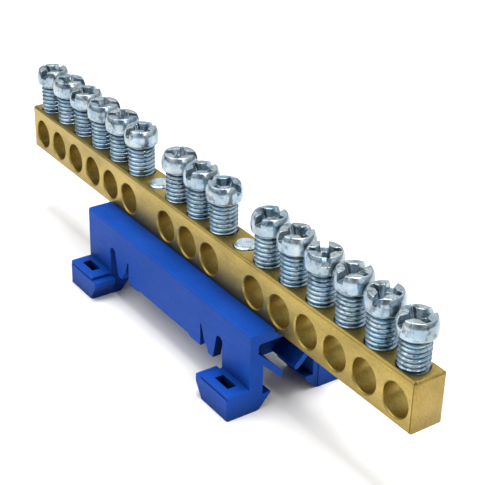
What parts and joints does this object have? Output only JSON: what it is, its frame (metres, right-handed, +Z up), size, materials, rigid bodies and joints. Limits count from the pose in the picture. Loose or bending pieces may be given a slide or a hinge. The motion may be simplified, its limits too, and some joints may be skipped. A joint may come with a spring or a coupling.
{
  "type": "neutral terminal bar",
  "caption": "Brass neutral terminal bar with clamp screws over round wire holes, carried by a blue moulded holder that snaps on a mounting rail.",
  "frame": {"origin": "under the middle of the part, at the level of the holder's feet", "axes": "+X along the bar, wires enter from -Y, +Z up through the clamp screws"},
  "size_m": [0.118, 0.0242, 0.0317],
  "materials": {
    "blue_plastic": "satin moulded polyamide",
    "brass": "matt machined",
    "zinc_steel": "bright zinc plated"
  },
  "bodies": {
    "holder": {"rail_holder": "blue_plastic", "busbar": "brass", "mounting_screw_left": "zinc_steel", "mounting_screw_right": "zinc_steel"},
    "screw_01": {"clamp_screw_01": "zinc_steel"},
    "screw_02": {"clamp_screw_02": "zinc_steel"},
    "screw_03": {"clamp_screw_03": "zinc_steel"},
    "screw_04": {"clamp_screw_04": "zinc_steel"},
    "screw_05": {"clamp_screw_05": "zinc_steel"},
    "screw_06": {"clamp_screw_06": "zinc_steel"},
    "screw_07": {"clamp_screw_07": "zinc_steel"},
    "screw_08": {"clamp_screw_08": "zinc_steel"},
    "screw_09": {"clamp_screw_09": "zinc_steel"},
    "screw_10": {"clamp_screw_10": "zinc_steel"},
    "screw_11": {"clamp_screw_11": "zinc_steel"},
    "screw_12": {"clamp_screw_12": "zinc_steel"},
    "screw_13": {"clamp_screw_13": "zinc_steel"},
    "screw_14": {"clamp_screw_14": "zinc_steel"},
    "screw_15": {"clamp_screw_15": "zinc_steel"}
  },
  "joints": [
    {"name": "clamp_01", "type": "slide", "parent": "holder", "child": "screw_01", "axis": [0, 0, 1], "range_m": [-0.0042, 0]},
    {"name": "clamp_02", "type": "slide", "parent": "holder", "child": "screw_02", "axis": [0, 0, 1], "range_m": [-0.0042, 0]},
    {"name": "clamp_03", "type": "slide", "parent": "holder", "child": "screw_03", "axis": [0, 0, 1], "range_m": [-0.0042, 0]},
    {"name": "clamp_04", "type": "slide", "parent": "holder", "child": "screw_04", "axis": [0, 0, 1], "range_m": [-0.0042, 0]},
    {"name": "clamp_05", "type": "slide", "parent": "holder", "child": "screw_05", "axis": [0, 0, 1], "range_m": [-0.0042, 0]},
    {"name": "clamp_06", "type": "slide", "parent": "holder", "child": "screw_06", "axis": [0, 0, 1], "range_m": [-0.0042, 0]},
    {"name": "clamp_07", "type": "slide", "parent": "holder", "child": "screw_07", "axis": [0, 0, 1], "range_m": [-0.0042, 0]},
    {"name": "clamp_08", "type": "slide", "parent": "holder", "child": "screw_08", "axis": [0, 0, 1], "range_m": [-0.0042, 0]},
    {"name": "clamp_09", "type": "slide", "parent": "holder", "child": "screw_09", "axis": [0, 0, 1], "range_m": [-0.0042, 0]},
    {"name": "clamp_10", "type": "slide", "parent": "holder", "child": "screw_10", "axis": [0, 0, 1], "range_m": [-0.0042, 0]},
    {"name": "clamp_11", "type": "slide", "parent": "holder", "child": "screw_11", "axis": [0, 0, 1], "range_m": [-0.0042, 0]},
    {"name": "clamp_12", "type": "slide", "parent": "holder", "child": "screw_12", "axis": [0, 0, 1], "range_m": [-0.0042, 0]},
    {"name": "clamp_13", "type": "slide", "parent": "holder", "child": "screw_13", "axis": [0, 0, 1], "range_m": [-0.0042, 0]},
    {"name": "clamp_14", "type": "slide", "parent": "holder", "child": "screw_14", "axis": [0, 0, 1], "range_m": [-0.0042, 0]},
    {"name": "clamp_15", "type": "slide", "parent": "holder", "child": "screw_15", "axis": [0, 0, 1], "range_m": [-0.0038, 0]}
  ]
}
